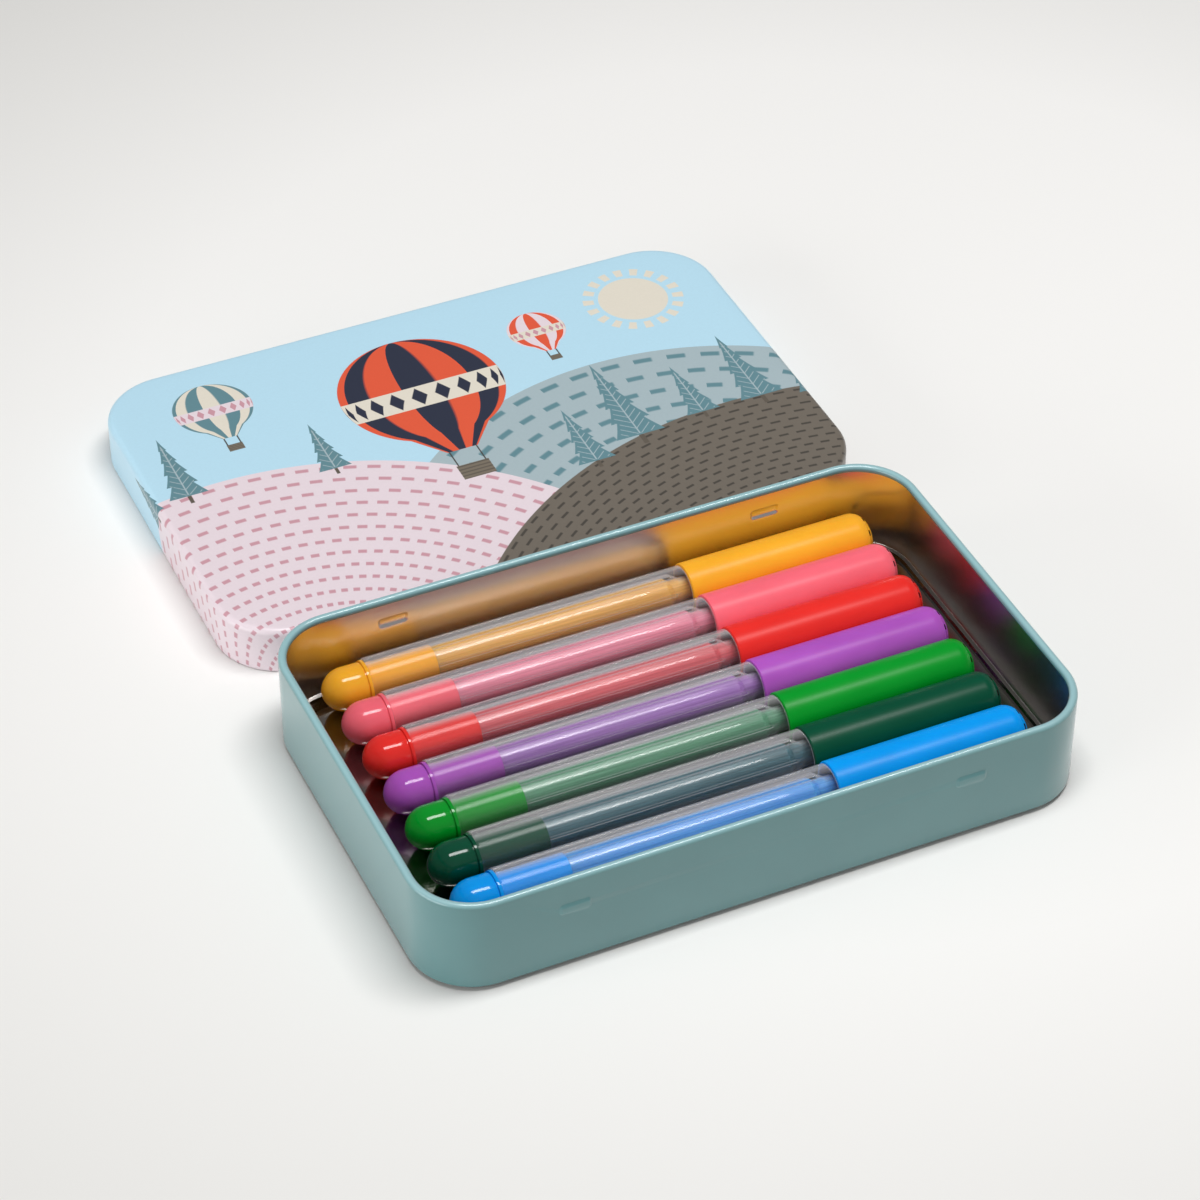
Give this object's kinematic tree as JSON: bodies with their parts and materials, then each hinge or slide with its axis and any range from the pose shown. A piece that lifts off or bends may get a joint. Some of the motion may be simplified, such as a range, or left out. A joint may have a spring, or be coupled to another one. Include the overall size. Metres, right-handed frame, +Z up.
{
  "type": "metal pencil case",
  "caption": "Flat metal tin with round corners and a curled rim, holding a row of capped felt-tip pens, with its shallow lift-off lid lying beside it.",
  "frame": {"origin": "middle of the ground that the base and the lid cover together, at the height both stand on", "axes": "+X along the pens towards their caps, +Y from the base towards the lid, +Z up"},
  "size_m": [0.1634, 0.2184, 0.0251],
  "materials": {
    "tin_paint": "satin teal paint outside, bare tinplate inside",
    "lid_print": "satin printed tinplate, bare inside",
    "clear_barrel": "clear, gloss",
    "yellow_plastic": "satin moulded plastic",
    "yellow_ink": "ink-soaked fibre",
    "pink_plastic": "satin moulded plastic",
    "pink_ink": "ink-soaked fibre",
    "red_plastic": "satin moulded plastic",
    "red_ink": "ink-soaked fibre",
    "purple_plastic": "satin moulded plastic",
    "purple_ink": "ink-soaked fibre",
    "green_plastic": "satin moulded plastic",
    "green_ink": "ink-soaked fibre",
    "dark_green_plastic": "satin moulded plastic",
    "dark_green_ink": "ink-soaked fibre",
    "blue_plastic": "satin moulded plastic",
    "blue_ink": "ink-soaked fibre",
    "navy_plastic": "satin moulded plastic",
    "navy_ink": "ink-soaked fibre"
  },
  "bodies": {
    "tin_base": {"tin_base": "tin_paint"},
    "tin_lid": {"tin_lid": "lid_print"},
    "yellow_cap": {"yellow_cap": "yellow_plastic"},
    "yellow_pen": {"yellow_barrel": "clear_barrel", "yellow_end_plug": "yellow_plastic", "yellow_ink_reservoir": "yellow_ink", "yellow_nib": "yellow_ink"},
    "pink_cap": {"pink_cap": "pink_plastic"},
    "pink_pen": {"pink_barrel": "clear_barrel", "pink_end_plug": "pink_plastic", "pink_ink_reservoir": "pink_ink", "pink_nib": "pink_ink"},
    "red_cap": {"red_cap": "red_plastic"},
    "red_pen": {"red_barrel": "clear_barrel", "red_end_plug": "red_plastic", "red_ink_reservoir": "red_ink", "red_nib": "red_ink"},
    "purple_cap": {"purple_cap": "purple_plastic"},
    "purple_pen": {"purple_barrel": "clear_barrel", "purple_end_plug": "purple_plastic", "purple_ink_reservoir": "purple_ink", "purple_nib": "purple_ink"},
    "green_cap": {"green_cap": "green_plastic"},
    "green_pen": {"green_barrel": "clear_barrel", "green_end_plug": "green_plastic", "green_ink_reservoir": "green_ink", "green_nib": "green_ink"},
    "dark_green_cap": {"dark_green_cap": "dark_green_plastic"},
    "dark_green_pen": {"dark_green_barrel": "clear_barrel", "dark_green_end_plug": "dark_green_plastic", "dark_green_ink_reservoir": "dark_green_ink", "dark_green_nib": "dark_green_ink"},
    "blue_cap": {"blue_cap": "blue_plastic"},
    "blue_pen": {"blue_barrel": "clear_barrel", "blue_end_plug": "blue_plastic", "blue_ink_reservoir": "blue_ink", "blue_nib": "blue_ink"},
    "navy_cap": {"navy_cap": "navy_plastic"},
    "navy_pen": {"navy_barrel": "clear_barrel", "navy_end_plug": "navy_plastic", "navy_ink_reservoir": "navy_ink", "navy_nib": "navy_ink"}
  },
  "joints": [
    {"name": "lid_lift", "type": "slide", "parent": "tin_base", "child": "tin_lid", "axis": [0, 0, 1], "range_m": [0, 0.06]},
    {"name": "yellow_lift", "type": "slide", "parent": "tin_base", "child": "yellow_cap", "axis": [0, -0.0995, 0.995], "range_m": [0, 0.06]},
    {"name": "yellow_pull", "type": "slide", "parent": "yellow_cap", "child": "yellow_pen", "axis": [-1, 0, 0], "range_m": [0, 0.0065]},
    {"name": "pink_lift", "type": "slide", "parent": "tin_base", "child": "pink_cap", "axis": [0, 0, 1], "range_m": [0, 0.045]},
    {"name": "pink_pull", "type": "slide", "parent": "pink_cap", "child": "pink_pen", "axis": [-1, 0, 0], "range_m": [0, 0.0065]},
    {"name": "red_lift", "type": "slide", "parent": "tin_base", "child": "red_cap", "axis": [0, 0, 1], "range_m": [0, 0.045]},
    {"name": "red_pull", "type": "slide", "parent": "red_cap", "child": "red_pen", "axis": [-1, 0, 0], "range_m": [0, 0.0065]},
    {"name": "purple_lift", "type": "slide", "parent": "tin_base", "child": "purple_cap", "axis": [0, 0, 1], "range_m": [0, 0.045]},
    {"name": "purple_pull", "type": "slide", "parent": "purple_cap", "child": "purple_pen", "axis": [-1, 0, 0], "range_m": [0, 0.0065]},
    {"name": "green_lift", "type": "slide", "parent": "tin_base", "child": "green_cap", "axis": [0, 0, 1], "range_m": [0, 0.045]},
    {"name": "green_pull", "type": "slide", "parent": "green_cap", "child": "green_pen", "axis": [-1, 0, 0], "range_m": [0, 0.0065]},
    {"name": "dark_green_lift", "type": "slide", "parent": "tin_base", "child": "dark_green_cap", "axis": [0, 0, 1], "range_m": [0, 0.045]},
    {"name": "dark_green_pull", "type": "slide", "parent": "dark_green_cap", "child": "dark_green_pen", "axis": [-1, 0, 0], "range_m": [0, 0.0065]},
    {"name": "blue_lift", "type": "slide", "parent": "tin_base", "child": "blue_cap", "axis": [0, 0, 1], "range_m": [0, 0.045]},
    {"name": "blue_pull", "type": "slide", "parent": "blue_cap", "child": "blue_pen", "axis": [-1, 0, 0], "range_m": [0, 0.0065]},
    {"name": "navy_lift", "type": "slide", "parent": "tin_base", "child": "navy_cap", "axis": [0, 0.0995, 0.995], "range_m": [0, 0.06]},
    {"name": "navy_pull", "type": "slide", "parent": "navy_cap", "child": "navy_pen", "axis": [-1, 0, 0], "range_m": [0, 0.0065]}
  ]
}
